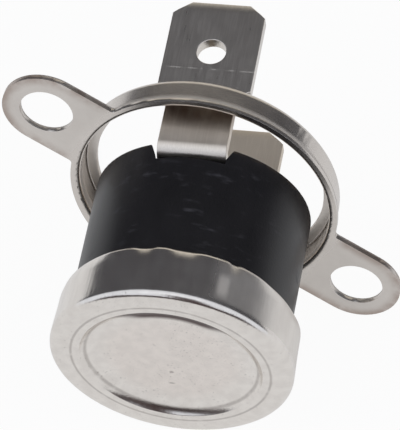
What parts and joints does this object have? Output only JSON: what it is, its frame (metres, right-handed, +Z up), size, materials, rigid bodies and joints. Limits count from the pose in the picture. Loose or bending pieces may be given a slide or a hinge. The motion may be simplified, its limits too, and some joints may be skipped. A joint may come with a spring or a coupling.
{
  "type": "thermostat",
  "caption": "Round snap-disc thermostat: aluminium sensing cap crimped on a black moulded body, blade terminals at the back and a loose ring bracket with ears round their necks.",
  "frame": {"origin": "centre of the sensing face, in the plane of its flat outer ring", "axes": "+Z up from the table it lies on; +Y level, under the thermostat's own axis, from the sensing face to the terminals; +X level, across the blades"},
  "size_m": [0.0266, 0.0249, 0.0181],
  "materials": {
    "cap_aluminium": "drawn sheet, satin",
    "bimetal_steel": "rolled strip, dull",
    "phenolic_brown": "moulded, dull",
    "ceramic_white": "fired, slight sheen",
    "phenolic_black": "moulded, semi-matte",
    "spring_bronze": "rolled strip, satin",
    "contact_silver": "coined, bright",
    "plated_steel": "dull plated strip",
    "bracket_steel": "pressed sheet, satin"
  },
  "bodies": {
    "thermostat": {"sensing_cap": "cap_aluminium", "bimetal_disc": "bimetal_steel", "pin_guide": "phenolic_brown", "body": "phenolic_black", "contact_plate": "spring_bronze", "fixed_contact": "contact_silver", "upper_terminal": "plated_steel", "lower_terminal": "plated_steel", "upper_rivet": "plated_steel", "lower_rivet": "plated_steel"},
    "pin": {"push_pin": "ceramic_white"},
    "arm": {"contact_arm": "spring_bronze", "moving_contact": "contact_silver"},
    "bracket": {"mounting_bracket": "bracket_steel"}
  },
  "joints": [
    {"name": "arm_flex", "type": "hinge", "parent": "thermostat", "child": "arm", "pos_m": [-0.00013, 0.00917, 0.00292], "axis": [0.9984, -0.0038, 0.056], "range_deg": [0, 6.23], "stiffness_Nm_per_rad": 0.00005, "springref_deg": -5.73, "deforming": ["contact_arm"]},
    {"name": "pin_slide", "type": "slide", "parent": "thermostat", "child": "pin", "axis": [0, 0.9977, 0.0671], "range_m": [0, 0.00025], "deforming": ["bimetal_disc"]},
    {"name": "bracket_swivel", "type": "hinge", "parent": "thermostat", "child": "bracket", "pos_m": [0, 0.01505, 0.00101], "axis": [0.0527, 0.9962, -0.0697], "continuous": true}
  ],
  "couplings": [
    {"joint": "arm_flex", "follows": "pin_slide", "rad_per_m": 434.78}
  ]
}
